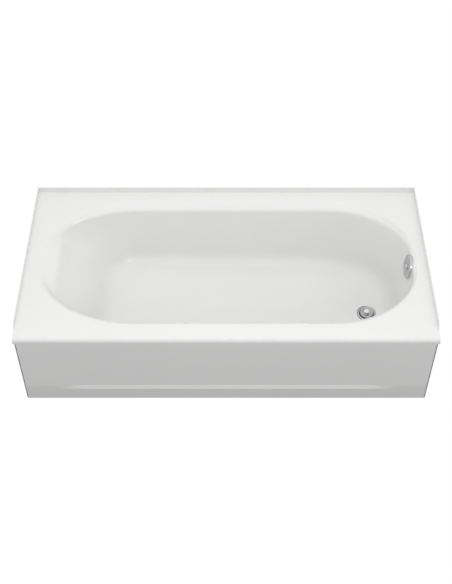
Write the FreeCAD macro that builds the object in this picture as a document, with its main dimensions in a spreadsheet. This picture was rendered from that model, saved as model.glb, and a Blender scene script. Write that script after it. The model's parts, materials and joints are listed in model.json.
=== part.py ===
import FreeCAD, Part
import math
import os

import Sketcher
from FreeCAD import Placement, Rotation, Vector

doc = FreeCAD.newDocument("AlcoveBathtub")
sheet = doc.addObject("Spreadsheet::Sheet", "Dims")

# Driving sizes in millimetres and degrees: +X to the drain end, +Y to the back wall, +Z up from the ground.
# Heights are above the ground; places along X and Y are from the middle of the tub. An amount that starts
# with an equals sign follows from the sizes it names.
dimensions = [
    ("tubLength", 1524, "overall length"),
    ("tubWidth", 762, "apron face to the back of the tiling flange"),
    ("rimHeight", 355.6, "height of the deck"),
    ("sheetThickness", 2.5, "enamelled steel sheet"),
    ("flangeRise", 25.4, "tiling flange above the deck"),
    ("flangeBend", 4, "inside radius where the deck turns up into the flange"),
    ("flangeTopEnd", 68, "side flange at full height, behind the apron face"),
    ("flangeFootEnd", 39, "side flange at the deck, behind the apron face"),
    ("apronRoll", 18, "radius from the deck down into the apron"),
    ("lipDrop", 24, "deck lip below the deck, above the narrower apron"),
    ("apronSetback", 4, "apron end inside the deck lip"),
    ("apronCorner", 9, "radius of the upright apron corner"),
    ("apronReturn", 26, "apron end and foot turned back"),
    ("panelRecess", 8, "pressed panel behind the apron face, at the ledge"),
    ("panelDrop", 25.6, "top of the panel below the deck"),
    ("panelTop", "=rimHeight - panelDrop", "height where the panel meets the apron face"),
    ("ledgeBack", 73, "height of the back of the sloping ledge"),
    ("ledgeFront", 60, "height of the front of the sloping ledge"),
    ("panelMargin", 107, "apron beside the faded end of the panel"),
    ("panelFadeLength", 125, "length over which the panel fades out"),
    ("panelHalf", "=tubLength / 2 - panelMargin", "half length where the panel has faded out"),
    ("panelFullHalf", "=panelHalf - panelFadeLength", "half length of the panel at full depth"),
    ("panelFade", 0.05, "depth left at the faded ends of the panel"),
    ("headDeck", 52, "deck at the head end"),
    ("drainDeck", 31, "deck at the drain end"),
    ("frontDeck", 70, "deck along the front"),
    ("backDeck", 48, "deck along the back"),
    ("headEnd", "=tubLength / 2 - headDeck", "head end of the basin rim"),
    ("drainEnd", "=tubLength / 2 - drainDeck", "drain end of the basin rim"),
    ("basinFront", "=tubWidth / 2 - frontDeck", "front of the basin rim"),
    ("basinBack", "=tubWidth / 2 - backDeck", "back of the basin rim"),
    ("headOvalRim", 375, "length of the rounded head end at the rim"),
    ("headOvalFloor", 100, "length of the rounded head end at the floor"),
    ("drainOvalRim", 330, "length of the rounded drain end at the rim"),
    ("drainOvalFloor", 230, "length of the rounded drain end at the floor"),
    ("headFlatRim", 40, "half the straight stretch across the head end at the rim"),
    ("headFlatRoll", 115, "half the straight stretch across the head end at the foot of the roll"),
    ("headFlatFloor", 110, "half the straight stretch across the head end at the floor"),
    ("drainFlatRim", 4, "half the straight stretch across the drain end at the rim"),
    ("drainFlatRoll", 40, "half the straight stretch across the drain end at the foot of the roll"),
    ("drainFlatFloor", 20, "half the straight stretch across the drain end at the floor"),
    ("rimRound", 12, "radius where the deck bends down into the band"),
    ("rimStart", 5, "slope where that bend leaves the deck, degrees"),
    ("bandSlope", 33, "slope of the band between the rim and the roll, degrees"),
    ("headBand", 42, "width of the band over the backrest"),
    ("drainBand", 10, "width of the band at the drain end"),
    ("frontBand", 14, "width of the band along the front"),
    ("backBand", 23, "width of the band along the back"),
    ("headRoll", 80, "roll radius over the backrest"),
    ("drainRoll", 16, "roll radius at the drain end"),
    ("frontRoll", 20, "roll radius along the front"),
    ("backRoll", 20, "roll radius along the back"),
    ("headSlope", 31.5, "backrest from upright, degrees"),
    ("drainSlope", 8, "drain end wall from upright, degrees"),
    ("frontSlope", 5, "front wall from upright, degrees"),
    ("backSlope", 2, "back wall from upright, degrees"),
    ("headFloorBend", 90, "radius from the backrest to the floor"),
    ("drainFloorBend", 90, "radius from the drain end wall to the floor"),
    ("frontFloorBend", 50, "radius from the front wall to the floor"),
    ("backFloorBend", 55, "radius from the back wall to the floor"),
    ("floorHeight", 35, "basin floor at the drain"),
    ("floorFall", 0.0258, "fall of the floor per unit of length"),
    ("tiltFull", 135, "walls follow the sloping floor below this height"),
    ("tiltDrop", 55.6, "depth below the deck where the walls begin to tilt"),
    ("tiltNone", "=rimHeight - tiltDrop", "walls are level with the deck above this height"),
    ("backingThickness", 6, "resin composite under the sheet"),
    ("backingDrop", 53, "upper edge of the composite below the overflow centre"),
    ("bondGap", 0.2, "film of adhesive"),
    ("footLength", 110, "support foot along the tub"),
    ("footWidth", 80, "support foot across the tub"),
    ("footWall", 7, "wall of the hollow support foot"),
    ("footRoof", 8, "top of the hollow support foot"),
    ("footCorner", 10, "upright corner of a support foot"),
    ("footSpacingAcross", 250, "front foot to back foot"),
    ("headFootInset", 370, "feet near the backrest, from the head end of the basin"),
    ("drainFootInset", 157, "feet near the drain, from the drain"),
    ("padThickness", 4, "rubber pad under a foot"),
    ("padMargin", 3, "foot overhangs its pad"),
    ("drainInset", 164, "drain from the drain end of the basin"),
    ("drainX", "=drainEnd - drainInset", "drain from mid length"),
    ("drainY", 6, "drain from mid width"),
    ("drainHole", 26, "radius of the hole in the basin floor"),
    ("sumpRadius", 39, "radius of the flat recess round the drain"),
    ("sumpDepth", 3, "recess below the basin floor"),
    ("bossRadius", 42, "radius of the composite boss under the drain"),
    ("bossHeight", 5.8, "composite boss below the sheet"),
    ("drainFlange", 36.5, "radius of the drain flange"),
    ("drainFlangeRise", 4, "drain flange above its gasket"),
    ("drainFlangeRound", 2.4, "rounded edge of the drain flange"),
    ("drainDish", 31, "radius where the flange dips to the stopper seat"),
    ("drainSeat", 27, "outer radius of the stopper seat"),
    ("drainSeatDrop", 2.5, "stopper seat below the flange top"),
    ("drainBarrel", 23.5, "outer radius of the threaded barrel"),
    ("drainBore", 19.5, "bore of the barrel"),
    ("barrelTail", 22, "radius of the plain tail under the thread"),
    ("barrelEnd", 3, "bottom of the tail"),
    ("crossBarWidth", 5, "bars across the bore"),
    ("crossBarDrop", 10, "top of the cross bars below the seat"),
    ("crossBarHeight", 5, "height of the cross bars"),
    ("crossHub", 7, "radius of the hub in the cross bars"),
    ("flangeGasket", 1, "thickness of the gasket under the flange"),
    ("flangeGasketRadius", 35.5, "radius of the gasket under the flange"),
    ("lowerGasket", 3, "thickness of the rubber gasket under the tub"),
    ("lowerGasketRadius", 36, "radius of the rubber gasket"),
    ("frictionWasher", 1.5, "thickness of the fibre washer"),
    ("frictionWasherRadius", 34, "radius of the fibre washer"),
    ("locknutHeight", 8, "drain locknut"),
    ("locknutAcross", 60, "drain locknut across its flats"),
    ("threadGap", 0.15, "between screwed pieces"),
    ("runningGap", 0.1, "between turning and sliding pieces"),
    ("restGap", 0.3, "between seated pieces"),
    ("postRadius", 4, "centre post of the stopper"),
    ("postRise", 11.5, "top of the post above the stopper seat"),
    ("postGrip", 6, "post inside the hub"),
    ("ringMajor", 3.75, "O-ring, middle radius"),
    ("ringMinor", 0.75, "O-ring, section radius"),
    ("ringRise", 5.5, "O-ring above the stopper seat"),
    ("sleeveBore", 4.6, "bore of the lifting sleeve"),
    ("sleeveRadius", 5.6, "outside of the lifting sleeve"),
    ("sleeveDrop", 5.5, "bottom of the sleeve below the stopper seat"),
    ("sleeveRise", 12.5, "top of the sleeve above the stopper seat"),
    ("collarRadius", 9, "collar of the sleeve, under the seal"),
    ("collarHeight", 2.2, "thickness of the collar"),
    ("sealRadius", 26, "rubber seal of the stopper"),
    ("sealThickness", 2.5, "rubber seal of the stopper"),
    ("capRadius", 25.5, "stopper cap"),
    ("capThickness", 2.2, "stopper cap in its hollow ring"),
    ("capRim", 4.2, "stopper cap at its raised rim"),
    ("capRimInner", 20, "inner radius of the raised rim"),
    ("capRound", 2.1, "rounded edge of the stopper cap"),
    ("capBoss", 7.2, "radius of the boss in the middle of the cap"),
    ("capBossHeight", 6.7, "height of the boss"),
    ("knobRadius", 11, "stopper knob"),
    ("knobWaist", 10, "narrowest radius of the knob"),
    ("knobHeight", 14, "stopper knob above the cap"),
    ("knobWaistRise", 4.2, "waist of the knob above the cap"),
    ("knobGripRise", 9.1, "widest part of the knob above the cap"),
    ("knobHollow", 9.2, "depth of the hollow under the knob"),
    ("knobRound", 3, "rounded edge of the knob"),
    ("clipThickness", 1, "retaining clip on the sleeve"),
    ("clipRadius", 7, "outside of the retaining clip"),
    ("clipDepth", 0.6, "groove of the clip in the sleeve"),
    ("setScrewRadius", 1.5, "set screw of the knob"),
    ("setScrewRise", 3.2, "set screw above the cap"),
    ("overflowY", 18, "overflow from mid width"),
    ("overflowDrop", 52.6, "centre of the overflow below the deck"),
    ("overflowHeight", "=rimHeight - overflowDrop", "centre of the overflow"),
    ("overflowHole", 31, "radius of the overflow hole"),
    ("plateRadius", 47, "overflow plate"),
    ("plateProud", 9.5, "face of the plate off the wall"),
    ("plateSheet", 1.6, "metal of the plate"),
    ("plateRound", 4, "rounded edge of the plate"),
    ("plateHollow", 31, "radius of the hollow in the face"),
    ("plateHollowDepth", 2.5, "depth of the hollow in the face"),
    ("plateSkirt", 14, "rim of the plate before it is trimmed to the wall"),
    ("waterGapWidth", 44, "water inlet in the lower rim"),
    ("waterGapHeight", 5, "water inlet in the lower rim"),
    ("plateScrewHead", 12.5, "radius of the domed screw head"),
    ("plateScrewDome", 9, "height of the domed screw head"),
    ("domeShoulder", 2.7, "upright side of the domed screw head"),
    ("domeTop", 9, "radius of the top of the dome"),
    ("domeRound", 2.7, "rounded edge of the dome"),
    ("plateScrew", 3, "radius of the screw"),
    ("plateScrewLength", 23, "screw under its head"),
    ("elbowInset", 15, "mouth of the overflow elbow inside the drain end of the basin"),
    ("elbowFace", "=drainEnd - elbowInset", "mouth of the overflow elbow from mid length"),
    ("elbowMouth", 33, "radius of the elbow mouth flange"),
    ("elbowMouthThickness", 3, "elbow mouth flange"),
    ("elbowReach", 21.5, "mouth of the elbow to the down pipe"),
    ("elbowAxis", "=elbowFace + elbowReach", "down pipe from mid length"),
    ("elbowRadius", 20.8, "outside of the elbow"),
    ("elbowBore", 17, "bore of the elbow"),
    ("elbowRise", 23, "top of the elbow above the overflow centre"),
    ("elbowDrop", 46, "end of the elbow below the overflow centre"),
    ("socketDepth", 22, "socket for the down pipe"),
    ("socketGap", 0.25, "between the pipe and its socket"),
    ("mouthBarWidth", 10, "bar across the elbow mouth"),
    ("mouthBarThickness", 5, "bar across the elbow mouth"),
    ("gasketInner", 25, "inside radius of the overflow gasket"),
    ("pipeRadius", 19.05, "outside of the down pipe"),
    ("pipeWall", 1.2, "wall of the down pipe"),
    ("pipeEnd", 8, "lower end of the down pipe"),
    ("slipNutAcross", 46, "slip nut across its flats"),
    ("slipNutHeight", 22, "slip nut"),
    ("slipNutLip", 3, "inner lip of the slip nut"),
    ("slipNutThread", 10, "thread shared by nut and elbow"),
    ("cutBeyond", 1, "reach of a cutter past the face that it crosses"),
]
for row, (name, amount, meaning) in enumerate(dimensions, start=1):
    sheet.set("A%d" % row, name)
    sheet.setAlias("B%d" % row, name)
    sheet.set("C%d" % row, meaning)
for row, (name, amount, meaning) in enumerate(dimensions, start=1):
    sheet.set("B%d" % row, str(amount))
doc.recompute()


def size(name):
    return float(sheet.get(name))


# Shared expressions: each joins sheet values, so mating pieces stay together.
sumpFloor = "(Dims.floorHeight - Dims.sumpDepth)"
sheetUnderSump = "(%s - Dims.sheetThickness)" % sumpFloor
bossBottom = "(%s - Dims.bondGap - Dims.bossHeight)" % sheetUnderSump
flangeUnder = "(%s + Dims.flangeGasket)" % sumpFloor
flangeTop = "(%s + Dims.drainFlangeRise)" % flangeUnder
seat = "(%s - Dims.drainSeatDrop)" % flangeTop
barTop = "(%s - Dims.crossBarDrop)" % seat
hubBottom = "(%s - Dims.crossBarHeight)" % barTop
gasketBottom = "(%s - Dims.lowerGasket)" % bossBottom
washerBottom = "(%s - Dims.frictionWasher)" % gasketBottom
locknutBottom = "(%s - Dims.locknutHeight)" % washerBottom
sealBottom = "(%s + Dims.restGap)" % seat
capBottom = "(%s + Dims.sealThickness)" % sealBottom
capFace = "(%s + Dims.capThickness)" % capBottom
bossTop = "(%s + Dims.capBossHeight)" % capBottom
clipBottom = "(%s + Dims.restGap)" % bossTop
clipTop = "(%s + Dims.clipThickness)" % clipBottom
ringPlace = "(%s + Dims.ringRise)" % seat
postFoot = "(%s - Dims.postGrip)" % barTop
postTop = "(%s + Dims.postRise)" % seat


# ---- Sketch and feature helpers ------------------------------------------------------------------

def newBody(label):
    body = doc.addObject("PartDesign::Body", label)
    body.Label = label
    return body


def originPlane(body, role):
    return [feature for feature in body.Origin.OriginFeatures if feature.Role == role][0]


def newSketch(body, role, offset="0"):
    sketch = body.newObject("Sketcher::SketchObject", "sketch")
    sketch.AttachmentSupport = [(originPlane(body, role), "")]
    sketch.MapMode = "FlatFace"
    sketch.setExpression("AttachmentOffset.Base.z", offset)
    return sketch


def worth(item, expression):
    """Number that an expression gives now."""
    return float(item.evalExpression(expression))


def tie(sketch, kind, references, expression):
    amount = worth(sketch, expression)
    index = sketch.addConstraint(Sketcher.Constraint(kind, *references, amount))
    sketch.setExpression("Constraints[%d]" % index, expression)


def drawOutline(sketch, corners):
    """Closed outline of straight lines through corners given as pairs of expressions."""
    places = []
    for across, up in corners:
        places.append(Vector(worth(sketch, across), worth(sketch, up), 0))
    edges = []
    for start, end in zip(places, places[1:] + places[:1]):
        edges.append(sketch.addGeometry(Part.LineSegment(start, end), False))
    for edge, following in zip(edges, edges[1:] + edges[:1]):
        sketch.addConstraint(Sketcher.Constraint("Coincident", edge, 2, following, 1))
    for edge, (across, up) in zip(edges, corners):
        tie(sketch, "DistanceX", (-1, 1, edge, 1), across)
        tie(sketch, "DistanceY", (-1, 1, edge, 1), up)


def drawCircle(sketch, radius, across="0", up="0"):
    centre = Vector(worth(sketch, across), worth(sketch, up), 0)
    edge = sketch.addGeometry(Part.Circle(centre, Vector(0, 0, 1), worth(sketch, radius)), False)
    tie(sketch, "Radius", (edge,), radius)
    tie(sketch, "DistanceX", (-1, 1, edge, 3), across)
    tie(sketch, "DistanceY", (-1, 1, edge, 3), up)


def drawHexagon(sketch, across):
    """Regular hexagon with two flats square to X, whose distance across flats is the expression."""
    corners = []
    for turn in range(6):
        angle = 30 + 60 * turn
        reach = "(%s / 2 / cos(30))" % across
        corners.append(("%s * cos(%d)" % (reach, angle), "%s * sin(%d)" % (reach, angle)))
    drawOutline(sketch, corners)


def turned(label, corners):
    """Body turned about the Z axis from an outline of (radius, height) expressions."""
    body = newBody(label)
    sketch = newSketch(body, "XZ_Plane")
    drawOutline(sketch, corners)
    turn = body.newObject("PartDesign::Revolution", "turn")
    turn.Profile = sketch
    turn.ReferenceAxis = (sketch, ["V_Axis"])
    turn.Angle = 360
    doc.recompute()
    return body


def pad(body, sketch, length, midplane=False, downwards=False):
    feature = body.newObject("PartDesign::Pad", "pad")
    feature.Profile = sketch
    feature.setExpression("Length", length)
    feature.Midplane = midplane
    feature.Reversed = downwards
    doc.recompute()
    return feature


def pocket(body, sketch, length, upwards=False):
    before = body.Shape.Volume
    feature = body.newObject("PartDesign::Pocket", "pocket")
    feature.Profile = sketch
    feature.setExpression("Length", length)
    feature.Reversed = upwards
    doc.recompute()
    assert body.Shape.Volume < before - 1e-3, "%s: a pocket cut nothing" % body.Label
    return feature


def roundEdges(body, choose, radius, kind="PartDesign::Fillet", slot="Radius"):
    """Fillet or chamfer on the edges of the body that the function picks."""
    base = body.Tip
    names = ["Edge%d" % (n + 1) for n, edge in enumerate(base.Shape.Edges) if choose(edge)]
    assert names, "%s: no edge to round" % body.Label
    feature = body.newObject(kind, "edgeFinish")
    feature.Base = (base, names)
    feature.setExpression(slot, radius)
    doc.recompute()
    return feature


def place(body, x="0", y="0", z="0"):
    body.setExpression("Placement.Base.x", x)
    body.setExpression("Placement.Base.y", y)
    body.setExpression("Placement.Base.z", z)


def circleAt(radius, height, slack=0.05):
    """Picks round edges about the Z axis by radius and height."""
    def choose(edge):
        curve = edge.Curve
        if not isinstance(curve, Part.Circle):
            return False
        return abs(curve.Radius - radius) < slack and abs(curve.Center.z - height) < slack
    return choose


# ---- Basin surface -------------------------------------------------------------------------------

sides = ["head", "drain", "front", "back"]


def floorLevel(x):
    return size("floorHeight") + size("floorFall") * (size("drainX") - x)


def eased(share):
    """Smooth step from none to one."""
    share = min(1.0, max(0.0, share))
    return share * share * (3 - 2 * share)


def between(start, end, share):
    return start + (end - start) * share


def tiltShare(height):
    """One near the floor, none near the deck, smooth between."""
    return eased((size("tiltNone") - height) / (size("tiltNone") - size("tiltFull")))


def squareTo(point, reach, slope):
    """Point at a distance from another, straight out from a surface of the given slope."""
    return (point[0] + reach * math.sin(slope), point[1] + reach * math.cos(slope))


def wallProfile(side):
    """Centre of the rim arc, centre of the roll arc, top of the straight wall and centre of the floor bend.

    Each is (distance inside the rim line, height).
    """
    draft = math.radians(size(side + "Slope"))
    band = math.radians(size("bandSlope"))
    width = size(side + "Band")
    bend = size(side + "FloorBend")
    rimCentre = squareTo((0, size("rimHeight")), -size("rimRound"), math.radians(size("rimStart")))
    bandTop = squareTo(rimCentre, size("rimRound"), band)
    bandFoot = (bandTop[0] + width, bandTop[1] - width * math.tan(band))
    rollCentre = squareTo(bandFoot, -size(side + "Roll"), band)
    wallTop = squareTo(rollCentre, size(side + "Roll"), math.pi / 2 - draft)
    bendHeight = size("floorHeight") + bend
    bendInset = wallTop[0] + (bend - (bendHeight - wallTop[1]) * math.sin(draft)) / math.cos(draft)
    return rimCentre, rollCentre, wallTop, (bendInset, bendHeight)


def arcInset(centre, radius, height):
    """Distance inside the rim line on the outer side of an arc, at a height."""
    cosine = min(1.0, (height - centre[1]) / radius)
    return centre[0] + radius * math.sqrt(1 - cosine * cosine)


def wallInset(side, height, offset):
    """Distance of the wall inside the rim line, at a height, for the surface offset outwards by a thickness.

    From the deck down: a tight bend, a straight band, a roll, a straight drafted wall and an arc into the
    floor.
    """
    draft = math.radians(size(side + "Slope"))
    band = math.radians(size("bandSlope"))
    rimRadius = size("rimRound") - offset
    rollRadius = size(side + "Roll") - offset
    bendRadius = size(side + "FloorBend") + offset
    rimCentre, rollCentre, wallTop, bendCentre = wallProfile(side)
    bandTop = squareTo(rimCentre, rimRadius, band)
    bandFoot = squareTo(rollCentre, rollRadius, band)
    top = squareTo(rollCentre, rollRadius, math.pi / 2 - draft)
    if height >= bandTop[1]:
        return arcInset(rimCentre, rimRadius, height)
    if height >= bandFoot[1]:
        return bandTop[0] + (bandTop[1] - height) / math.tan(band)
    if height >= top[1]:
        return arcInset(rollCentre, rollRadius, height)
    if height <= bendCentre[1] - bendRadius * math.sin(draft):
        sine = min(1.0, (bendCentre[1] - height) / bendRadius)
        return bendCentre[0] - bendRadius * math.sqrt(1 - sine * sine)
    return top[0] + (top[1] - height) * math.tan(draft)


def quarterOval(start, corner, end):
    curve = Part.BezierCurve()
    curve.setPoles([start, corner, end])
    curve.setWeight(2, math.sqrt(0.5))
    return curve.toShape()


def basinSection(height, offset):
    """Closed outline of the basin at one height: four straights joined by four quarter ovals.

    The ends are ovals at the rim and grow squarer down the band and the roll.
    """
    inset = {side: wallInset(side, height, offset) for side in sides}
    left = -size("headEnd") + inset["head"]
    right = size("drainEnd") - inset["drain"]
    near = -size("basinFront") + inset["front"]
    far = size("basinBack") - inset["back"]
    middle = (near + far) / 2
    reach = {}
    flat = {}
    for side in ("head", "drain"):
        reached = wallInset(side, height, 0)
        wallTop = wallProfile(side)[2][0]
        floorEdge = wallProfile(side)[3][0]
        reach[side] = between(size(side + "OvalRim"), size(side + "OvalFloor"), reached / floorEdge)
        upper = between(size(side + "FlatRim"), size(side + "FlatRoll"), eased(reached / wallTop))
        lowerShare = eased((reached - wallTop) / (floorEdge - wallTop))
        flat[side] = between(upper, size(side + "FlatFloor"), lowerShare)
    tilt = size("floorFall") * tiltShare(height)

    def point(x, y):
        return Vector(x, y, height + tilt * (size("drainX") - x))

    headStart = left + reach["head"]
    drainStart = right - reach["drain"]
    edges = [
        Part.makeLine(point(headStart, far), point(drainStart, far)),
        quarterOval(point(drainStart, far), point(right, far), point(right, middle + flat["drain"])),
        Part.makeLine(point(right, middle + flat["drain"]), point(right, middle - flat["drain"])),
        quarterOval(point(right, middle - flat["drain"]), point(right, near), point(drainStart, near)),
        Part.makeLine(point(drainStart, near), point(headStart, near)),
        quarterOval(point(headStart, near), point(left, near), point(left, middle - flat["head"])),
        Part.makeLine(point(left, middle - flat["head"]), point(left, middle + flat["head"])),
        quarterOval(point(left, middle + flat["head"]), point(left, far), point(headStart, far)),
    ]
    return Part.Wire(edges)


sectionStep = 0.9  # nearest that two sections may lie
rimShares = (0.33, 0.66, 1)  # shares of the turn round the rim bend where sections are cut
rollShares = (0, 0.25, 0.5, 0.75, 1)  # shares of the turn round each roll
bendAngles = (12, 25, 38, 52, 66, 85)  # degrees round the floor bends
wallShares = (0.3, 0.5, 0.7)  # shares of the height up the straight walls
bandShare = 0.5  # share of the shortest band where one more section keeps it straight


def basinHeights(offset):
    """Section heights, close together where the profiles curve."""
    top = size("rimHeight") - offset
    floor = size("floorHeight") - offset
    heights = {top, floor}
    start = math.radians(size("rimStart"))
    band = math.radians(size("bandSlope"))
    rimCentre = wallProfile("head")[0]
    for share in rimShares:
        heights.add(squareTo(rimCentre, size("rimRound") - offset, between(start, band, share))[1])
    bandFeet = []
    for side in sides:
        rollCentre = wallProfile(side)[1]
        wall = math.radians(90 - size(side + "Slope"))
        radius = size(side + "Roll") - offset
        bandFeet.append(squareTo(rollCentre, radius, band)[1])
        for share in rollShares:
            heights.add(squareTo(rollCentre, radius, between(band, wall, share))[1])
    heights.add(between(top, max(bandFeet), bandShare))
    bends = sorted({size(side + "FloorBend") for side in sides})
    for radius in (bends[0], bends[-1]):
        for degrees in bendAngles:
            rise = (radius + offset) * (1 - math.cos(math.radians(degrees)))
            heights.add(floor + rise)
    for share in wallShares:
        heights.add(floor + share * (top - floor))
    ordered = []
    for height in sorted(heights):
        if not ordered or height - ordered[-1] > sectionStep:
            ordered.append(height)
    if top - ordered[-1] > 0:
        ordered[-1] = top
    return ordered


def basinSolid(offset):
    """Solid that fills the basin, grown outwards by the offset."""
    sections = [basinSection(height, offset) for height in basinHeights(offset)]
    return Part.makeLoft(sections, True, False)


def keepShape(label, shape):
    feature = doc.addObject("Part::Feature", label)
    feature.Label = label
    feature.Shape = shape
    feature.Placement = Placement()
    return feature


def box(xRange, yRange, zRange):
    """Block between two limits along each axis."""
    lengths = [limits[1] - limits[0] for limits in (xRange, yRange, zRange)]
    return Part.makeBox(*lengths, Vector(xRange[0], yRange[0], zRange[0]))


def cylinder(radius, start, direction, length):
    return Part.makeCylinder(radius, length, start, direction)


def prismAlongX(outline, xRange):
    """Solid whose outline of (y, z) points runs between two limits along X."""
    points = [Vector(xRange[0], y, z) for y, z in outline]
    face = Part.Face(Part.makePolygon(points + points[:1]))
    return face.extrude(Vector(xRange[1] - xRange[0], 0, 0))


# ---- Tub shell -----------------------------------------------------------------------------------

sheetThickness = size("sheetThickness")
deck = size("rimHeight")
halfLength = size("tubLength") / 2
halfWidth = size("tubWidth") / 2
overlap = size("cutBeyond")
panelFade = size("panelFade")
nearby = 1e-4  # places closer than this are the same


def deckAndLip():
    """Deck sheet with the rolled front lip, along the whole tub."""
    radius = size("apronRoll")
    inner = radius - sheetThickness
    front = -halfWidth
    lip = deck - size("lipDrop")
    centre = (front + radius, deck - radius)

    def point(y, z):
        return Vector(-halfLength, y, z)

    def onArc(reach):
        return point(centre[0] - reach * math.sqrt(0.5), centre[1] + reach * math.sqrt(0.5))

    outerTop = point(centre[0], deck)
    outerFoot = point(front, centre[1])
    innerTop = point(centre[0], deck - sheetThickness)
    innerFoot = point(front + sheetThickness, centre[1])
    edges = [
        Part.makeLine(point(front, lip), outerFoot),
        Part.Arc(outerFoot, onArc(radius), outerTop).toShape(),
        Part.makeLine(outerTop, point(halfWidth, deck)),
        Part.makeLine(point(halfWidth, deck), point(halfWidth, deck - sheetThickness)),
        Part.makeLine(point(halfWidth, deck - sheetThickness), innerTop),
        Part.Arc(innerTop, onArc(inner), innerFoot).toShape(),
        Part.makeLine(innerFoot, point(front + sheetThickness, lip)),
        Part.makeLine(point(front + sheetThickness, lip), point(front, lip)),
    ]
    return Part.Face(Part.Wire(edges)).extrude(Vector(2 * halfLength, 0, 0))


def channelPlan(half, front, depth, radius, height):
    """Block behind the apron face with its two front upright corners rounded."""
    block = box((-half, half), (front, front + depth), (0, height))
    corners = []
    for edge in block.Edges:
        middle = edge.CenterOfMass
        if abs(middle.y - front) < nearby and abs(abs(middle.x) - half) < nearby:
            corners.append(edge)
    return block.makeFillet(radius, corners)


def apron():
    """Front panel with turned-back ends and foot, as one channel of sheet."""
    half = halfLength - size("apronSetback")
    top = deck - size("lipDrop") + overlap
    depth = size("apronReturn")
    corner = size("apronCorner")
    outer = channelPlan(half, -halfWidth, depth, corner, top)
    inner = channelPlan(
        half - sheetThickness, -halfWidth + sheetThickness, depth, corner - sheetThickness, top + overlap
    )
    inner.translate(Vector(0, 0, sheetThickness))
    return outer.cut(inner)


def panelCutter(shift):
    """What the pressed panel takes off the apron face, moved back by the shift."""
    front = -halfWidth + shift
    proud = front - 2 * overlap
    sections = []
    for half, depth in (
        (-size("panelHalf"), panelFade),
        (-size("panelFullHalf"), size("panelRecess")),
        (size("panelFullHalf"), size("panelRecess")),
        (size("panelHalf"), panelFade),
    ):
        points = [
            Vector(half, proud, size("panelTop")),
            Vector(half, front, size("panelTop")),
            Vector(half, front + depth, size("ledgeBack")),
            Vector(half, front, size("ledgeFront")),
            Vector(half, proud, size("ledgeFront")),
        ]
        sections.append(Part.makePolygon(points + points[:1]))
    return Part.makeLoft(sections, True, True)


def tilingFlange():
    """Upright flange round the back and both ends, with sloping front ends."""
    top = deck + size("flangeRise")
    outer = box((-halfLength, halfLength), (-halfWidth, halfWidth), (deck - sheetThickness, top))
    inner = box(
        (-halfLength + sheetThickness, halfLength - sheetThickness),
        (-halfWidth - overlap, halfWidth - sheetThickness),
        (deck - 2 * sheetThickness, top + overlap),
    )
    flange = outer.cut(inner)
    high = -halfWidth + size("flangeTopEnd")
    low = -halfWidth + size("flangeFootEnd")
    outline = [
        (-halfWidth - overlap, deck),
        (low, deck),
        (high, top),
        (high, top + overlap),
        (-halfWidth - overlap, top + overlap),
    ]
    below = box(
        (-halfLength - overlap, halfLength + overlap),
        (-halfWidth - overlap, low),
        (deck - 2 * sheetThickness, deck),
    )
    return flange.cut(prismAlongX(outline, (-halfLength - overlap, halfLength + overlap))).cut(below)


def bendEdges(shape):
    """Inner edges where the deck meets the flange."""
    chosen = []
    for edge in shape.Edges:
        ends = [vertex.Point for vertex in edge.Vertexes]
        if len(ends) != 2 or max(abs(end.z - deck) for end in ends) > nearby:
            continue
        alongBack = all(abs(end.y - halfWidth + sheetThickness) < nearby for end in ends)
        alongEnd = all(abs(abs(end.x) - halfLength + sheetThickness) < nearby for end in ends)
        if alongBack or alongEnd:
            chosen.append(edge)
    return chosen


drainCentre = Vector(size("drainX"), size("drainY"), 0)
sumpLevel = size("floorHeight") - size("sumpDepth")
plateTilt = size("drainSlope")
wallNormal = Vector(-math.cos(math.radians(plateTilt)), 0, math.sin(math.radians(plateTilt)))
wallAtOverflow = size("drainEnd") - wallInset("drain", size("overflowHeight"), 0)
overflowPoint = Vector(wallAtOverflow, size("overflowY"), size("overflowHeight"))


def overflowBore(radius):
    length = 2 * size("overflowHole")
    return cylinder(radius, overflowPoint + wallNormal * length / 2, wallNormal * -1, length)


def apronBack():
    """Room behind the apron face that the pressed panel may fill."""
    half = size("panelHalf")
    return box((-half, half), (-halfWidth, -halfWidth + size("apronReturn")), (0, size("panelTop")))


def tubShell(basin, basinOuter):
    pressing = deckAndLip().fuse(apron()).fuse(tilingFlange()).removeSplitter()
    pressing = pressing.makeFillet(size("flangeBend"), bendEdges(pressing))
    pressing = pressing.fuse(panelCutter(sheetThickness).common(apronBack())).cut(panelCutter(0))
    pressing = pressing.fuse(basinOuter)
    sump = size("sumpRadius")
    dish = cylinder(
        sump + sheetThickness,
        drainCentre + Vector(0, 0, sumpLevel - sheetThickness),
        Vector(0, 0, 1),
        sheetThickness + size("sumpDepth") / 2,
    )
    pressing = pressing.fuse(dish).cut(basin)
    recess = cylinder(sump, drainCentre + Vector(0, 0, sumpLevel), Vector(0, 0, 1), 2 * sump)
    hole = cylinder(size("drainHole"), drainCentre, Vector(0, 0, 1), 2 * sump)
    return pressing.cut(recess).cut(hole).cut(overflowBore(size("overflowHole")))


basinInner = basinSolid(0)
basinOuter = basinSolid(sheetThickness)
keepShape("tub_shell", tubShell(basinInner, basinOuter))


# ---- Composite backing, bonded under the basin ---------------------------------------------------

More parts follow.
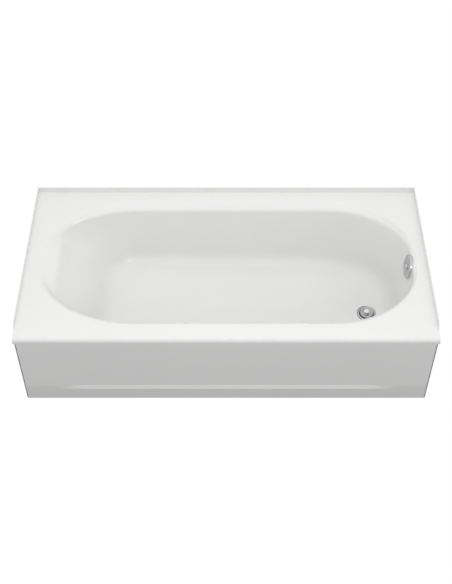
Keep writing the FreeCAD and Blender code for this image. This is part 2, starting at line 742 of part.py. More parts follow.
def compositeBacking():
    inside = sheetThickness + size("bondGap")
    outside = inside + size("backingThickness")
    layer = basinSolid(outside).cut(basinSolid(inside))
    top = size("overflowHeight") - size("backingDrop")
    above = box((-halfLength, halfLength), (-halfWidth, halfWidth), (top, deck + overlap))
    underSheet = sumpLevel - sheetThickness - size("bondGap")
    boss = cylinder(
        size("bossRadius"),
        drainCentre + Vector(0, 0, underSheet - size("bossHeight")),
        Vector(0, 0, 1),
        size("bossHeight"),
    )
    dish = cylinder(
        size("sumpRadius") + sheetThickness + size("bondGap"),
        drainCentre + Vector(0, 0, underSheet),
        Vector(0, 0, 1),
        size("bossRadius"),
    )
    hole = cylinder(size("drainHole"), drainCentre, Vector(0, 0, 1), size("bossRadius"))
    return layer.cut(above).fuse(boss).cut(dish).cut(hole)


keepShape("composite_backing", compositeBacking())


# ---- Support feet and their pads -----------------------------------------------------------------

floorUnderside = (
    "(Dims.floorHeight - Dims.sheetThickness - Dims.backingThickness - 2 * Dims.bondGap"
    " + Dims.floorFall * (Dims.drainX - (%s)))"
)
basinMiddle = "((Dims.basinBack - Dims.basinFront) / 2)"


def upright(edge):
    ends = [vertex.Point for vertex in edge.Vertexes]
    if len(ends) != 2:
        return False
    return abs(ends[0].x - ends[1].x) < nearby and abs(ends[0].y - ends[1].y) < nearby


def supportFoot(label, x, y):
    """Hollow moulded foot whose top follows the sloping floor."""
    body = newBody(label)
    half = "(Dims.footLength / 2)"
    bottom = "(Dims.padThickness)"
    left = "(" + floorUnderside % (x + " - " + half) + ")"
    right = "(" + floorUnderside % (x + " + " + half) + ")"
    profile = newSketch(body, "XZ_Plane")
    drawOutline(profile, [("-" + half, bottom), (half, bottom), (half, right), ("-" + half, left)])
    pad(body, profile, "Dims.footWidth", midplane=True)
    roundEdges(body, upright, "Dims.footCorner")
    hollow = newSketch(body, "XY_Plane", bottom)
    inX = "(Dims.footLength / 2 - Dims.footWall)"
    inY = "(Dims.footWidth / 2 - Dims.footWall)"
    drawOutline(hollow, [("-" + inX, "-" + inY), (inX, "-" + inY), (inX, inY), ("-" + inX, inY)])
    pocket(body, hollow, "%s - Dims.footRoof - %s" % (right, bottom), upwards=True)
    place(body, x, y)
    return body


def footPad(label, x, y):
    body = newBody(label)
    outline = newSketch(body, "XY_Plane")
    toX = "(Dims.footLength / 2 - Dims.padMargin)"
    toY = "(Dims.footWidth / 2 - Dims.padMargin)"
    drawOutline(outline, [("-" + toX, "-" + toY), (toX, "-" + toY), (toX, toY), ("-" + toX, toY)])
    pad(body, outline, "Dims.padThickness")
    roundEdges(body, upright, "Dims.footCorner - Dims.padMargin")
    place(body, x, y)
    return body


feetAlong = {"head": "(Dims.headFootInset - Dims.headEnd)", "drain": "(Dims.drainX - Dims.drainFootInset)"}
feetAcross = {"front": "- Dims.footSpacingAcross / 2", "back": "+ Dims.footSpacingAcross / 2"}
for end, x in feetAlong.items():
    for row, across in feetAcross.items():
        supportFoot("support_foot_%s_%s" % (end, row), x, basinMiddle + across)
        footPad("foot_pad_%s_%s" % (end, row), x, basinMiddle + across)


# ---- Drain ---------------------------------------------------------------------------------------

def drainFlange():
    """Flange, stopper seat and threaded barrel in one piece, with a cross of bars over the bore."""
    body = turned("drain_flange", [
        ("Dims.drainBore", "Dims.barrelEnd"),
        ("Dims.barrelTail", "Dims.barrelEnd"),
        ("Dims.barrelTail", locknutBottom),
        ("Dims.drainBarrel", locknutBottom),
        ("Dims.drainBarrel", flangeUnder),
        ("Dims.drainFlange", flangeUnder),
        ("Dims.drainFlange", flangeTop),
        ("Dims.drainDish", flangeTop),
        ("Dims.drainSeat", seat),
        ("Dims.drainBore", seat),
    ])
    roundEdges(body, circleAt(size("drainFlange"), worth(body, flangeTop)), "Dims.drainFlangeRound")
    bars = newSketch(body, "XY_Plane", hubBottom)
    reach = "((Dims.drainBore + Dims.drainBarrel) / 2)"
    half = "(Dims.crossBarWidth / 2)"
    drawOutline(bars, [("-" + reach, "-" + half), (reach, "-" + half), (reach, half), ("-" + reach, half)])
    bar = pad(body, bars, "Dims.crossBarHeight")
    cross = body.newObject("PartDesign::PolarPattern", "cross")
    cross.Originals = [bar]
    cross.Axis = (bars, ["N_Axis"])
    cross.Angle = 90
    cross.Occurrences = 2
    body.Tip = cross
    doc.recompute()
    hub = newSketch(body, "XY_Plane", hubBottom)
    drawCircle(hub, "Dims.crossHub")
    pad(body, hub, "Dims.crossBarHeight")
    thread = newSketch(body, "XY_Plane", hubBottom)
    drawCircle(thread, "Dims.postRadius + Dims.threadGap")
    pocket(body, thread, "Dims.crossBarHeight", upwards=True)
    return body


def ring(label, inner, outer, bottom, top):
    return turned(label, [(inner, bottom), (outer, bottom), (outer, top), (inner, top)])


def hexNut(label, across, bore, bottom, height):
    body = newBody(label)
    outline = newSketch(body, "XY_Plane", bottom)
    drawHexagon(outline, across)
    drawCircle(outline, bore)
    pad(body, outline, height)
    return body


barrelBore = "Dims.drainBarrel + Dims.threadGap"
drainPieces = [
    drainFlange(),
    ring("drain_flange_gasket", barrelBore, "Dims.flangeGasketRadius", sumpFloor, flangeUnder),
    ring("drain_lower_gasket", barrelBore, "Dims.lowerGasketRadius", gasketBottom, bossBottom),
    ring("drain_friction_washer", barrelBore, "Dims.frictionWasherRadius", washerBottom, gasketBottom),
    hexNut("drain_locknut", "Dims.locknutAcross", barrelBore, locknutBottom, "Dims.locknutHeight"),
]


# ---- Stopper: the cap and knob turn on a sleeve that lifts along the centre post -----------------

def stopperPost():
    groove = "Dims.ringMajor - Dims.ringMinor - Dims.runningGap"
    half = "(Dims.ringMinor + Dims.runningGap)"
    return turned("stopper_post", [
        ("0", postFoot),
        ("Dims.postRadius", postFoot),
        ("Dims.postRadius", ringPlace + " - " + half),
        (groove, ringPlace + " - " + half),
        (groove, ringPlace + " + " + half),
        ("Dims.postRadius", ringPlace + " + " + half),
        ("Dims.postRadius", postTop),
        ("0", postTop),
    ])


def postRing():
    body = newBody("post_o_ring")
    section = newSketch(body, "XZ_Plane")
    drawCircle(section, "Dims.ringMinor", "Dims.ringMajor", ringPlace)
    turn = body.newObject("PartDesign::Revolution", "turn")
    turn.Profile = section
    turn.ReferenceAxis = (section, ["V_Axis"])
    turn.Angle = 360
    doc.recompute()
    return body


def stopperSleeve():
    collarTop = seat
    collarBottom = "(%s - Dims.collarHeight)" % seat
    groove = "(Dims.sleeveRadius - Dims.clipDepth)"
    return turned("stopper_sleeve", [
        ("Dims.sleeveBore", seat + " - Dims.sleeveDrop"),
        ("Dims.sleeveRadius", seat + " - Dims.sleeveDrop"),
        ("Dims.sleeveRadius", collarBottom),
        ("Dims.collarRadius", collarBottom),
        ("Dims.collarRadius", collarTop),
        ("Dims.sleeveRadius", collarTop),
        ("Dims.sleeveRadius", clipBottom),
        (groove, clipBottom),
        (groove, clipTop),
        ("Dims.sleeveRadius", clipTop),
        ("Dims.sleeveRadius", seat + " + Dims.sleeveRise"),
        ("Dims.sleeveBore", seat + " + Dims.sleeveRise"),
    ])


capBore = "Dims.sleeveRadius + Dims.runningGap"


def stopperCap():
    """Round cap with a raised rim, a shallow ring inside it and a boss under the knob."""
    rimTop = "(%s + Dims.capRim)" % capBottom
    body = turned("stopper_cap", [
        (capBore, capBottom),
        ("Dims.capRadius", capBottom),
        ("Dims.capRadius", rimTop),
        ("Dims.capRimInner", rimTop),
        ("Dims.capRimInner - Dims.capThickness", capFace),
        ("Dims.capBoss", capFace),
        ("Dims.capBoss", bossTop),
        (capBore, bossTop),
    ])
    roundEdges(body, circleAt(size("capRadius"), worth(body, rimTop)), "Dims.capRound")
    return body


def stopperKnob():
    """Hollow knob with a waist, open below, that fits over the boss of the cap."""
    hollow = "Dims.capBoss + Dims.runningGap"
    hollowTop = capFace + " + Dims.knobHollow"
    top = "(%s + Dims.knobHeight)" % capFace
    body = turned("stopper_knob", [
        (hollow, capFace),
        ("Dims.knobWaist + Dims.runningGap", capFace),
        ("Dims.knobWaist", capFace + " + Dims.knobWaistRise"),
        ("Dims.knobRadius", capFace + " + Dims.knobGripRise"),
        ("Dims.knobRadius", top),
        ("0", top),
        ("0", hollowTop),
        (hollow, hollowTop),
    ])
    roundEdges(body, circleAt(size("knobRadius"), worth(body, top)), "Dims.knobRound")
    screwHole = newSketch(body, "YZ_Plane")
    drawCircle(screwHole, "Dims.setScrewRadius + Dims.threadGap", "0", capFace + " + Dims.setScrewRise")
    pocket(body, screwHole, "Dims.knobRadius + Dims.cutBeyond", upwards=True)
    return body


def setScrew():
    body = newBody("stopper_set_screw")
    end = newSketch(body, "YZ_Plane", "Dims.capBoss + Dims.restGap")
    drawCircle(end, "Dims.setScrewRadius", "0", capFace + " + Dims.setScrewRise")
    pad(body, end, "Dims.knobWaist - Dims.capBoss - Dims.restGap")
    return body


stopperPieces = [
    stopperPost(),
    postRing(),
    stopperSleeve(),
    ring("stopper_clip", "Dims.sleeveRadius - Dims.clipDepth + Dims.threadGap / 2", "Dims.clipRadius",
         clipBottom, clipTop),
    ring("stopper_seal", capBore + " + Dims.runningGap", "Dims.sealRadius", sealBottom, capBottom),
    stopperCap(),
    stopperKnob(),
    setScrew(),
]
for piece in drainPieces + stopperPieces:
    place(piece, "Dims.drainX", "Dims.drainY")


# ---- Overflow ------------------------------------------------------------------------------------

def keepFitted(label, blank, tool, operation):
    """Boolean of a made piece and the basin surface that it is fitted to."""
    fitted = doc.addObject(operation, label)
    fitted.Base = blank
    fitted.Tool = tool
    fitted.Label = label
    return fitted


def overflowPlate():
    """Dished cover whose rim is trimmed to the curved wall, with a water inlet in its lower rim."""
    face = "Dims.plateProud"
    under = "(Dims.plateProud - Dims.plateSheet)"
    hollow = "(Dims.plateProud - Dims.plateHollowDepth)"
    hollowUnder = "(%s - Dims.plateSheet)" % hollow
    skirt = "(Dims.plateProud - Dims.plateSkirt)"
    body = turned("plate_blank", [
        ("Dims.plateRadius - Dims.plateSheet", skirt),
        ("Dims.plateRadius", skirt),
        ("Dims.plateRadius", face),
        ("Dims.plateHollow + Dims.plateHollowDepth", face),
        ("Dims.plateHollow", hollow),
        ("Dims.plateScrew + Dims.threadGap", hollow),
        ("Dims.plateScrew + Dims.threadGap", hollowUnder),
        ("Dims.plateHollow", hollowUnder),
        ("Dims.plateHollow + Dims.plateHollowDepth", under),
        ("Dims.plateRadius - Dims.plateSheet", under),
    ])
    roundEdges(body, circleAt(size("plateRadius"), size("plateProud")), "Dims.plateRound")
    inlet = newSketch(body, "XY_Plane", skirt)
    half = "(Dims.waterGapWidth / 2)"
    drawOutline(inlet, [
        ("Dims.plateRadius / 2", "-" + half),
        ("Dims.plateRadius + Dims.cutBeyond", "-" + half),
        ("Dims.plateRadius + Dims.cutBeyond", half),
        ("Dims.plateRadius / 2", half),
    ])
    pocket(body, inlet, "Dims.plateSkirt - Dims.plateProud + Dims.waterGapHeight", upwards=True)
    return body


# The local Z axis of the plate and its screw points out of the wall, and local X points down it.
wallFrame = Rotation(Vector(0, -1, 0).cross(wallNormal), Vector(0, -1, 0), wallNormal, "ZYX")
wallPlacement = Placement(overflowPoint, wallFrame)


def overflowScrew():
    """Long screw with a domed head, through the plate into the bar across the elbow mouth."""
    head = "(Dims.plateProud - Dims.plateHollowDepth)"
    rise = "(%s + Dims.plateScrewDome)" % head
    screwTip = "(%s - Dims.plateScrewLength)" % head
    body = turned("overflow_screw", [
        ("0", screwTip),
        ("Dims.plateScrew", screwTip),
        ("Dims.plateScrew", head),
        ("Dims.plateScrewHead", head),
        ("Dims.plateScrewHead", head + " + Dims.domeShoulder"),
        ("Dims.domeTop", rise),
        ("0", rise),
    ])
    roundEdges(body, circleAt(size("domeTop"), worth(body, rise)), "Dims.domeRound")
    return body


plateBlank = overflowPlate()
plateBlank.Placement = wallPlacement
screw = overflowScrew()
screw.Placement = wallPlacement
plateRoom = keepShape("plate_room", basinSolid(-size("restGap")))
keepFitted("overflow_plate", plateBlank, plateRoom, "Part::Common")

gasketBlank = ring("gasket_blank", "Dims.gasketInner", "Dims.elbowMouth", "0",
                   "Dims.elbowFace - Dims.drainEnd + Dims.elbowMouth")
gasketBlank.Placement = Placement(Vector(), Rotation(Vector(0, 0, 1), Vector(-1, 0, 0)))
place(gasketBlank, "Dims.elbowFace", "Dims.overflowY", "Dims.overflowHeight")
gasketRoom = keepShape("gasket_room", basinSolid(sheetThickness + size("restGap")))
keepFitted("overflow_gasket", gasketBlank, gasketRoom, "Part::Cut")

elbowEnd = "(Dims.overflowHeight - Dims.elbowDrop)"
alongX = Rotation(Vector(0, 0, 1), Vector(1, 0, 0))
alongZ = Rotation()


def rod(name, radius, length, x, z, direction):
    """Cylinder of the elbow or its bore, in the plane of the overflow."""
    piece = doc.addObject("Part::Cylinder", name)
    piece.setExpression("Radius", radius)
    piece.setExpression("Height", length)
    piece.Placement = Placement(Vector(), direction)
    place(piece, x, "Dims.overflowY", z)
    return piece


def join(name, pieces, operation="Part::MultiFuse"):
    joined = doc.addObject(operation, name)
    joined.Shapes = pieces
    return joined


def remove(name, base, tool):
    trimmed = doc.addObject("Part::Cut", name)
    trimmed.Base = base
    trimmed.Tool = tool
    return trimmed


def overflowElbow():
    """Elbow with a mouth flange, a bar for the screw and a socket for the down pipe."""
    mouth = rod("mouth", "Dims.elbowMouth", "Dims.elbowMouthThickness", "Dims.elbowFace",
                "Dims.overflowHeight", alongX)
    leg = rod("leg", "Dims.elbowRadius", "Dims.elbowAxis - Dims.elbowFace", "Dims.elbowFace",
              "Dims.overflowHeight", alongX)
    barrel = rod("barrel", "Dims.elbowRadius", "Dims.elbowDrop + Dims.elbowRise", "Dims.elbowAxis",
                 elbowEnd, alongZ)
    legBore = rod("legBore", "Dims.elbowBore", "Dims.elbowAxis - Dims.elbowFace + Dims.cutBeyond",
                  "Dims.elbowFace - Dims.cutBeyond", "Dims.overflowHeight", alongX)
    bore = rod("bore", "Dims.elbowBore", "Dims.elbowDrop + Dims.elbowBore", "Dims.elbowAxis",
               elbowEnd, alongZ)
    socket = rod("socket", "Dims.pipeRadius + Dims.socketGap", "Dims.socketDepth + Dims.cutBeyond",
                 "Dims.elbowAxis", elbowEnd + " - Dims.cutBeyond", alongZ)
    beyond = doc.addObject("Part::Box", "beyond")
    beyond.setExpression("Length", "Dims.elbowRadius")
    beyond.setExpression("Width", "2 * Dims.elbowMouth")
    beyond.setExpression("Height", "2 * (Dims.elbowDrop + Dims.elbowRise)")
    place(beyond, "Dims.elbowFace - Dims.elbowRadius", "Dims.overflowY - Dims.elbowMouth",
          "Dims.overflowHeight - Dims.elbowDrop - Dims.elbowRise")
    hollow = remove("hollowElbow", join("solidElbow", [mouth, leg, barrel]),
                    join("elbowBores", [legBore, bore, socket, beyond]))
    bar = doc.addObject("Part::Box", "bar")
    bar.setExpression("Length", "Dims.mouthBarThickness")
    bar.setExpression("Width", "Dims.mouthBarWidth")
    bar.setExpression("Height", "2 * Dims.elbowBore + Dims.elbowMouthThickness")
    place(bar, "Dims.elbowFace", "Dims.overflowY - Dims.mouthBarWidth / 2",
          "Dims.overflowHeight - Dims.elbowBore - Dims.elbowMouthThickness / 2")
    thread = doc.addObject("Part::Cylinder", "thread")
    thread.setExpression("Radius", "Dims.plateScrew + Dims.threadGap")
    thread.setExpression("Height", "2 * Dims.plateScrewLength")
    thread.Placement = Placement(overflowPoint - wallNormal * 2 * size("plateScrewLength"), wallFrame)
    elbow = remove("overflow_elbow", join("barredElbow", [hollow, bar]), thread)
    elbow.Label = "overflow_elbow"
    return elbow


overflowElbow()

nutBottom = "(%s + Dims.slipNutThread - Dims.slipNutHeight)" % elbowEnd
lipTop = "(%s + Dims.slipNutLip)" % nutBottom
slipNut = hexNut("overflow_slip_nut", "Dims.slipNutAcross", "Dims.pipeRadius + Dims.socketGap",
                 nutBottom, "Dims.slipNutHeight")
slipThread = newSketch(slipNut, "XY_Plane", lipTop)
drawCircle(slipThread, "Dims.elbowRadius + Dims.threadGap")
pocket(slipNut, slipThread, "Dims.slipNutHeight - Dims.slipNutLip", upwards=True)
pipePieces = [
    slipNut,
    ring("overflow_slip_washer", "Dims.pipeRadius + Dims.runningGap", "Dims.elbowRadius", lipTop,
         elbowEnd + " - Dims.restGap"),
    ring("overflow_down_pipe", "Dims.pipeRadius - Dims.pipeWall", "Dims.pipeRadius", "Dims.pipeEnd",
         elbowEnd + " + Dims.socketDepth - Dims.restGap"),
]
for piece in pipePieces:
    place(piece, "Dims.elbowAxis", "Dims.overflowY")


# ---- Check and export ----------------------------------------------------------------------------

nodes = ["tub_shell", "composite_backing"]
nodes += ["support_foot_%s_%s" % (end, row) for end in feetAlong for row in feetAcross]
nodes += ["foot_pad_%s_%s" % (end, row) for end in feetAlong for row in feetAcross]
nodes += [piece.Label for piece in drainPieces + stopperPieces]
nodes += ["overflow_plate", "overflow_screw", "overflow_gasket", "overflow_elbow"]
nodes += [piece.Label for piece in pipePieces]

doc.recompute()
for feature in doc.Objects:
    assert "Invalid" not in feature.State and "Error" not in feature.State, feature.Label

os.makedirs("parts", exist_ok=True)
for label in nodes:
    shape = doc.getObjectsByLabel(label)[0].Shape
    assert not shape.isNull() and shape.isValid(), "%s has no valid shape" % label
    assert len(shape.Solids) == 1, "%s is in %d pieces" % (label, len(shape.Solids))
    shape.exportStep("parts/%s.step" % label)
    print("%-28s %12.1f mm3" % (label, shape.Volume))
print(len(nodes), "nodes")
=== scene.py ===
import json
import math

import bpy
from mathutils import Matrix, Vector

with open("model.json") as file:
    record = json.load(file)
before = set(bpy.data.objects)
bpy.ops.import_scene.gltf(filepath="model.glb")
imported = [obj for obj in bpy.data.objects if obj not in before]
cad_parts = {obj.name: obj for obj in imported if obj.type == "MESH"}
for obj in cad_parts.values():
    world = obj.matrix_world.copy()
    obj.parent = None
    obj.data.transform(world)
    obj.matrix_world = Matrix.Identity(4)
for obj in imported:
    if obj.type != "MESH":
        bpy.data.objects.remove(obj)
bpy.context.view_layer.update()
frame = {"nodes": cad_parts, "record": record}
nodes = frame["nodes"]
print("frame loaded:", len(nodes), "nodes")


# camera at the photograph's viewing angle, in metres and degrees
cameraPlace = {
    "focalPixels": 996.4,
    "picture": (452, 584),
    "axisPixel": (226.25, 257.3),  # where the optical axis meets the picture
    "location": (0.0, -2.565, 3.148),
    "pitch": 47.22,  # below the horizon
    "sensor": 36.0,  # millimetres along the picture's long side
    "clipEnd": 60.0,
}


def makeCamera(place):
    width, height = place["picture"]
    longSide = max(width, height)
    data = bpy.data.cameras.new("camera")
    data.sensor_width = place["sensor"]
    data.lens = place["focalPixels"] / longSide * place["sensor"]
    data.shift_x = (width / 2 - place["axisPixel"][0]) / longSide
    data.shift_y = (place["axisPixel"][1] - height / 2) / longSide
    data.clip_end = place["clipEnd"]
    camera = bpy.data.objects.new("camera", data)
    camera.location = place["location"]
    camera.rotation_euler = (math.radians(90 - place["pitch"]), 0, 0)
    bpy.context.scene.collection.objects.link(camera)
    bpy.context.scene.camera = camera


makeCamera(cameraPlace)
print("camera ready")


class Wire:
    # one output socket of a shader; arithmetic on it adds Math nodes
    def __init__(self, tree, socket=None):
        self.tree = tree
        self.socket = socket

    def node(self, kind, settings=None, inputs=None, output=0):
        made = self.tree.nodes.new("ShaderNode" + kind)
        for name, value in (settings or {}).items():
            setattr(made, name, value)
        for name, value in (inputs or {}).items():
            if isinstance(value, Wire):
                self.tree.links.new(value.socket, made.inputs[name])
            else:
                made.inputs[name].default_value = value
        return Wire(self.tree, made.outputs[output])

    def math(self, operation, first, second=0.0):
        return self.node("Math", {"operation": operation}, {0: first, 1: second})

    def __add__(self, other):
        return self.math("ADD", self, other)

    def __sub__(self, other):
        return self.math("SUBTRACT", self, other)

    def __rsub__(self, other):
        return self.math("SUBTRACT", other, self)

    def __mul__(self, other):
        return self.math("MULTIPLY", self, other)

    def __truediv__(self, other):
        return self.math("DIVIDE", self, other)

    __radd__ = __add__
    __rmul__ = __mul__

    def below(self, limit):
        return self.math("LESS_THAN", self, limit)

    def above(self, limit):
        return self.math("GREATER_THAN", self, limit)

    def either(self, other):
        return self.math("MAXIMUM", self, other)

    def size(self):
        return self.math("ABSOLUTE", self)

    def fraction(self):
        return self.math("FRACT", self)

    def vector(self, operation, other, output=0):
        return self.node("VectorMath", {"operation": operation}, {0: self, 1: other}, output)

    def axes(self):
        return [self.node("SeparateXYZ", None, {0: self}, axis) for axis in "XYZ"]


noiseMean = 0.5  # the value that a noise texture varies round


def rgba(colour):
    return (*colour, 1.0)


class Surface:
    # one material with a Principled shader, read from the object's own coordinates
    def __init__(self, name, base, roughness, metallic=0.0):
        self.material = bpy.data.materials.new(name)
        self.material.use_nodes = True
        self.tree = self.material.node_tree
        self.shader = self.tree.nodes["Principled BSDF"]
        self.wire = Wire(self.tree)
        self.set("Base Color", rgba(base))
        self.set("Roughness", roughness)
        self.set("Metallic", metallic)

    def set(self, socketName, value):
        target = self.shader.inputs[socketName]
        if isinstance(value, Wire):
            self.tree.links.new(value.socket, target)
        else:
            target.default_value = value

    def place(self):
        return self.wire.node("TexCoord", output="Object")

    def noise(self, texture):
        scale, detail = texture
        inputs = {"Vector": self.place(), "Scale": scale, "Detail": detail}
        return self.wire.node("TexNoise", None, inputs)

    def blend(self, share, first, second):
        # a Mix node takes its two colours at sockets 6 and 7 and gives the mixed one at 2
        first, second = [colour if isinstance(colour, Wire) else rgba(colour) for colour in (first, second)]
        return self.wire.node("Mix", {"data_type": "RGBA"}, {0: share, 6: first, 7: second}, 2)

    def bump(self, height, distance, corners=None):
        inputs = {"Height": height, "Distance": distance}
        if corners:  # softens the sharp corners by a small radius
            samples, radius = corners["samples"], corners["radius"]
            inputs["Normal"] = self.wire.node("Bevel", {"samples": samples}, {"Radius": radius})
        self.set("Normal", self.wire.node("Bump", None, inputs))


# finishes: colours are linear, lengths in metres, and a texture is its scale and detail
enamelLook = {
    "white": (0.8, 0.8, 0.795),
    "shade": (0.785, 0.785, 0.78),
    "mottle": (5.0, 3),
    "gloss": 0.05,
    "glossMottle": (35.0, 3),
    "glossSpread": 0.05,
    "peel": (190.0, 1),
    "peelHeight": 0.00003,
    "middle": (0.0, 0.01, 0.5),  # surfaces that face this point are the white side of the sheet
    "frontReach": -0.366,  # the apron is in front of this
    "frontTurn": 0.3,  # faces turned back further than this are not its white front
    "cornerHalf": 0.7515,  # the white of the apron ends here, at its turned corners
    "lipFoot": 0.3316,
    "lipReach": -0.29,
    "rearReach": -0.34,
    "ground": (0.022, 0.024, 0.032),
    "overspray": (0.42, 0.42, 0.42),
    "specks": (900.0, 2),
    "specksFrom": 0.6,
    "groundGloss": 0.32,
    # painted shade: below this height the apron's front gets the darker colour on the next line, for the
    # shade near the floor and on the ledge
    "footShadeTop": 0.074,
    "footPaintedShade": (0.72, 0.72, 0.715),
    "floorTop": 0.085,
    "floorGloss": 0.1,
    "gripPitch": 0.06,
    "gripMiddle": 0.5,  # where in its square a dot sits
    "gripRadius": 0.007,
    "gripGloss": 0.07,
}


def groundSide(surface, look):
    # 1 where the sheet gets its dark coat colour: behind and underneath, where it shows its ground coat,
    # and in a thin strip down the apron's turned corners
    place = surface.place()
    normal = surface.wire.node("NewGeometry", output="Normal")
    outward = place.vector("SUBTRACT", look["middle"])
    behind = outward.vector("DOT_PRODUCT", normal, "Value").above(0)
    x, y, z = place.axes()
    facing = normal.axes()[1]
    apron = y.below(look["frontReach"]) * x.size().below(look["cornerHalf"])
    lip = y.below(look["lipReach"]) * z.above(look["lipFoot"])
    front = apron.either(lip) * facing.below(look["frontTurn"])
    rear = y.below(look["rearReach"]) * z.below(look["lipFoot"]) * facing.above(look["frontTurn"])
    return (behind * (1 - front)).either(rear)


def gripDots(surface, look):
    # 1 inside the faint slip-resistant dots of the basin floor
    x, y, z = surface.place().axes()
    across = [(side / look["gripPitch"]).fraction() - look["gripMiddle"] for side in (x, y)]
    reach = across[0] * across[0] + across[1] * across[1]
    return reach.below((look["gripRadius"] / look["gripPitch"]) ** 2) * z.below(look["floorTop"])


def enamelFinish(look):
    surface = Surface("whiteEnamel", look["white"], look["gloss"])
    ground = groundSide(surface, look)
    white = surface.blend(surface.noise(look["mottle"]), look["white"], look["shade"])
    specks = surface.noise(look["specks"]).above(look["specksFrom"])
    coat = surface.blend(specks, look["ground"], look["overspray"])
    y, z = surface.place().axes()[1:]
    paintedFootShade = z.below(look["footShadeTop"]) * y.below(look["frontReach"])  # painted shade: the apron's foot and ledge get a darker colour, for the shade near the floor
    white = surface.blend(paintedFootShade, white, look["footPaintedShade"])
    surface.set("Base Color", surface.blend(ground, white, coat))
    floor = z.below(look["floorTop"]) * y.above(look["frontReach"])
    gloss = look["gloss"] + look["glossSpread"] * surface.noise(look["glossMottle"])
    gloss = gloss + look["floorGloss"] * floor + look["gripGloss"] * gripDots(surface, look)
    surface.set("Roughness", gloss * (1 - ground) + look["groundGloss"] * ground)
    surface.bump(surface.noise(look["peel"]), look["peelHeight"])
    return surface.material


chromeLook = {
    "metal": (0.56, 0.565, 0.575),
    "gloss": 0.1,
    "smudge": (60.0, 4),
    "smudgeSpread": 0.12,
    "ripple": (900.0, 2),
    "rippleHeight": 0.00001,
    "knobAxis": (0.567, 0.006),
    "knobReach": 0.0112,
    "knobTop": 0.0505,
    "knobPaintedHighlight": (0.93, 0.93, 0.935),  # painted highlight: the knob's top gets a brighter metal colour than the rings round it
}


def paintedKnobHighlightMask(surface, look):
    # 1 on the top of the stopper's knob, where the painted highlight goes
    x, y, z = surface.place().axes()
    across, along = x - look["knobAxis"][0], y - look["knobAxis"][1]
    return (across * across + along * along).below(look["knobReach"] ** 2) * z.above(look["knobTop"])


def chromeFinish(look):
    surface = Surface("polishedChrome", look["metal"], look["gloss"], 1.0)
    # painted highlight: the knob's top gets the brighter metal colour
    surface.set("Base Color", surface.blend(paintedKnobHighlightMask(surface, look), look["metal"], look["knobPaintedHighlight"]))
    surface.set("Roughness", look["gloss"] + look["smudgeSpread"] * surface.noise(look["smudge"]))
    surface.bump(surface.noise(look["ripple"]), look["rippleHeight"])
    return surface.material


compositeLook = {
    "dark": (0.2, 0.195, 0.185),
    "light": (0.3, 0.29, 0.275),
    "clumps": (24.0, 5),
    "specks": (420.0, 3),
    "clumpTint": 0.6,  # the clumps' share of the colour, and the specks have the rest
    "clumpRelief": 0.7,  # their share of the relief
    "relief": 0.0012,
    "roughness": 0.85,
}


def compositeFinish(look):
    surface = Surface("mouldedComposite", look["dark"], look["roughness"])
    clumps = surface.noise(look["clumps"])
    specks = surface.noise(look["specks"])
    tint = clumps * look["clumpTint"] + specks * (1 - look["clumpTint"])
    surface.set("Base Color", surface.blend(tint, look["dark"], look["light"]))
    surface.bump(clumps * look["clumpRelief"] + specks * (1 - look["clumpRelief"]), look["relief"])
    return surface.material


plainLooks = {
    "foot_plastic": {
        "name": "footPlastic", "low": (0.03, 0.03, 0.032), "high": (0.05, 0.05, 0.053),
        "metallic": 0.0, "roughness": 0.5, "spread": 0.15, "grain": (650.0, 3), "relief": 0.00015,
    },
    "black_rubber": {
        "name": "blackRubber", "low": (0.018, 0.018, 0.018), "high": (0.035, 0.034, 0.033),
        "metallic": 0.0, "roughness": 0.7, "spread": 0.2, "grain": (900.0, 3), "relief": 0.0001,
    },
    "brass": {
        "name": "turnedBrass", "low": (0.57, 0.4, 0.17), "high": (0.65, 0.47, 0.21),
        "metallic": 1.0, "roughness": 0.28, "spread": 0.2, "grain": (140.0, 3), "relief": 0.00003,
    },
    "fibre": {
        "name": "pressedFibre", "low": (0.16, 0.055, 0.03), "high": (0.26, 0.1, 0.055),
        "metallic": 0.0, "roughness": 0.85, "spread": 0.1, "grain": (1200.0, 3), "relief": 0.0002,
    },
    "spring_steel": {
        "name": "springSteel", "low": (0.3, 0.3, 0.31), "high": (0.42, 0.42, 0.43),
        "metallic": 1.0, "roughness": 0.35, "spread": 0.2, "grain": (500.0, 3), "relief": 0.00003,
    },
}
plainCorners = {"radius": 0.0007, "samples": 4}


def plainFinish(look):
    surface = Surface(look["name"], look["low"], look["roughness"], look["metallic"])
    grain = surface.noise(look["grain"])
    surface.set("Base Color", surface.blend(grain, look["low"], look["high"]))
    surface.set("Roughness", look["roughness"] + look["spread"] * (grain - noiseMean))
    surface.bump(grain, look["relief"], plainCorners)
    return surface.material


finishes = {
    "white_enamel": enamelFinish(enamelLook),
    "chrome": chromeFinish(chromeLook),
    "grey_composite": compositeFinish(compositeLook),
}
for slot, plainLook in plainLooks.items():
    finishes[slot] = plainFinish(plainLook)

for part in frame["record"]["subparts"]:
    piece = nodes[part["node"]]
    piece.data.materials.clear()
    piece.data.materials.append(finishes[part["material_slot"]])
print("finishes on")


# lamps: soft light from overhead, in front and at the right, and one that is only mirrored
lampSettings = {
    "overhead": {
        "place": (0.0, 0.1, 3.4), "size": (3.4, 2.4), "power": 30.0,
        "mirrored": False, "lights": True,
    },
    "front": {
        "place": (0.0, -1.6, 1.3), "size": (2.4, 0.5), "power": 6.4,
        "mirrored": False, "lights": True,
    },
    "right": {
        "place": (2.6, -1.8, 2.5), "size": (0.8, 0.8), "power": 5.4,
        "mirrored": False, "lights": True,
    },
    "glint": {
        "place": (2.28, -2.17, 2.46), "size": (1.2, 0.5), "power": 14.0,
        "mirrored": True, "lights": False,
    },
}
lampAim = (0.0, 0.0, 0.2)


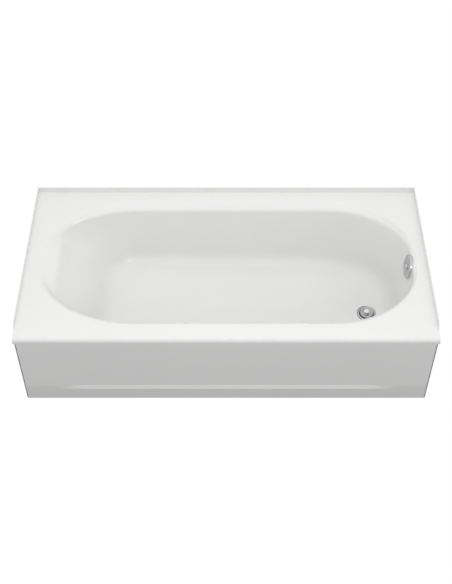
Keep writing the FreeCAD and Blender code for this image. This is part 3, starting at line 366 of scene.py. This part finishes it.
def makeLamp(name, lamp):
    data = bpy.data.lights.new(name, "AREA")
    data.shape = "RECTANGLE"
    data.size, data.size_y = lamp["size"]
    data.energy = lamp["power"]
    made = bpy.data.objects.new(name, data)
    made.location = lamp["place"]
    made.visible_glossy = lamp["mirrored"]
    made.visible_diffuse = lamp["lights"]
    aim = Vector(lampAim) - Vector(lamp["place"])
    made.rotation_euler = aim.to_track_quat("-Z", "Y").to_euler()
    bpy.context.scene.collection.objects.link(made)


for lampName, lampSetting in lampSettings.items():
    makeLamp(lampName, lampSetting)


def seenRays(wire):
    # 1 for the camera's own rays and for those that a mirror or glass sends on
    seen = [
        wire.node("LightPath", output="Is %s Ray" % kind)
        for kind in ("Camera", "Glossy", "Transmission")
    ]
    return seen[0].either(seen[1]).either(seen[2])


plainWhite = (1.0, 1.0, 1.0)
worldLook = {
    "light": 0.74,  # strength for the light on the object
    "seen": 1.0,  # strength where it is seen
}


def makeWorld(look):
    world = bpy.data.worlds.new("studio")
    bpy.context.scene.world = world
    world.use_nodes = True
    tree = world.node_tree
    background = tree.nodes["Background"]
    background.inputs["Color"].default_value = rgba(plainWhite)
    strength = seenRays(Wire(tree)) * (look["seen"] - look["light"]) + look["light"]
    tree.links.new(strength.socket, background.inputs["Strength"])


floorLook = {
    "reach": 12.0,
    "height": -0.0005,
    "colour": (0.12, 0.12, 0.12),
    "roughness": 0.9,
    "seenShare": 0.9,  # how much of the floor's colour the camera sees as plain white
    "seenWhite": 1.11,
}


def makeFloor(look):
    mesh = bpy.data.meshes.new("floor")
    corners = ((-1, -1), (1, -1), (1, 1), (-1, 1))
    points = [(x * look["reach"], y * look["reach"], look["height"]) for x, y in corners]
    mesh.from_pydata(points, [], [(0, 1, 2, 3)])
    floor = bpy.data.objects.new("floor", mesh)
    bpy.context.scene.collection.objects.link(floor)
    surface = Surface("paleFloor", look["colour"], look["roughness"])
    glow = {"Color": rgba(plainWhite), "Strength": look["seenWhite"]}
    white = surface.wire.node("Emission", None, glow)
    shaded = Wire(surface.tree, surface.shader.outputs[0])
    share = seenRays(surface.wire) * look["seenShare"]
    mixed = surface.wire.node("MixShader", None, {0: share, 1: shaded, 2: white})
    output = surface.tree.nodes["Material Output"]
    surface.tree.links.new(mixed.socket, output.inputs["Surface"])
    mesh.materials.append(surface.material)


makeWorld(worldLook)
makeFloor(floorLook)
bpy.context.scene.view_settings.view_transform = "Standard"
print("lights and floor ready")
